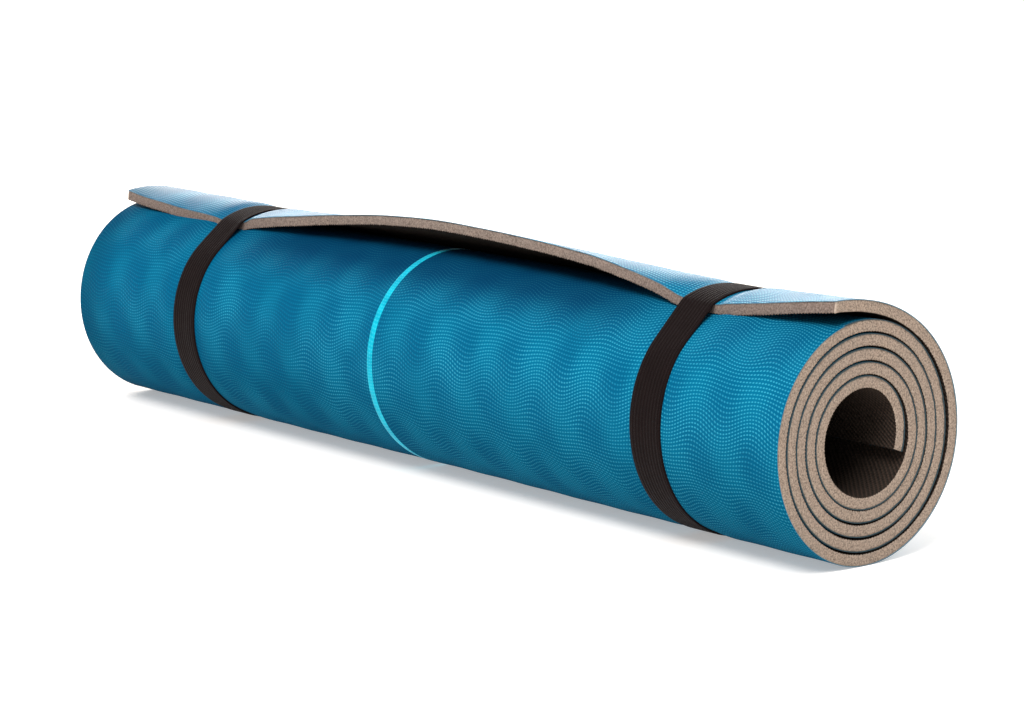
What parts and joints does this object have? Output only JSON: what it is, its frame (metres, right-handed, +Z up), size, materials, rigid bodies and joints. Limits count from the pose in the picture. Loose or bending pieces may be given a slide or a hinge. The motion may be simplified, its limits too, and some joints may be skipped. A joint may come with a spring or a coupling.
{
  "type": "foam sleeping pad",
  "caption": "Foam sleeping pad rolled up tight, with a blue embossed skin, a light stripe round its middle and a loose outer flap that elastic bands hold down.",
  "frame": {"origin": "on the ground under the middle of the roll", "axes": "+X along the roll towards its right end, +Y to the back, +Z up; the loose flap opens to the front, -Y"},
  "size_m": [0.6, 0.1214, 0.1348],
  "materials": {
    "foam": "matte closed-cell foam",
    "skin": "embossed satin film",
    "stripe": "printed satin ink",
    "elastic": "woven ribbed elastic, yarn over rubber threads",
    "thread": "matte sewing thread"
  },
  "bodies": {
    "rolled_mat": {"foam_core": "foam", "top_skin": "skin", "centre_stripe": "stripe"},
    "left_flap_corner": {"left_corner_foam": "foam", "left_corner_skin": "skin"},
    "right_flap_corner": {"right_corner_foam": "foam", "right_corner_skin": "skin"},
    "left_band": {"left_band": "elastic", "left_band_stitching": "thread"},
    "right_band": {"right_band": "elastic", "right_band_stitching": "thread"}
  },
  "joints": [
    {"name": "left_band_slide", "type": "slide", "parent": "rolled_mat", "child": "left_band", "axis": [-1, 0, 0], "range_m": [0, 0.145], "deforming": ["left_band"]},
    {"name": "right_band_slide", "type": "slide", "parent": "rolled_mat", "child": "right_band", "axis": [1, 0, 0], "range_m": [0, 0.125], "deforming": ["right_band"]},
    {"name": "left_corner_curl", "type": "hinge", "parent": "rolled_mat", "child": "left_flap_corner", "pos_m": [-0.232, -0.0086, 0.1231], "axis": [-0.9491, 0.3151, 0], "range_deg": [0, 28]},
    {"name": "right_corner_curl", "type": "hinge", "parent": "rolled_mat", "child": "right_flap_corner", "pos_m": [0.2425, -0.0086, 0.1236], "axis": [-0.9308, -0.3655, 0], "range_deg": [0, 28]}
  ],
  "couplings": [
    {"joint": "left_corner_curl", "follows": "left_band_slide", "rad_per_m": 3.36},
    {"joint": "right_corner_curl", "follows": "right_band_slide", "rad_per_m": 3.9}
  ]
}
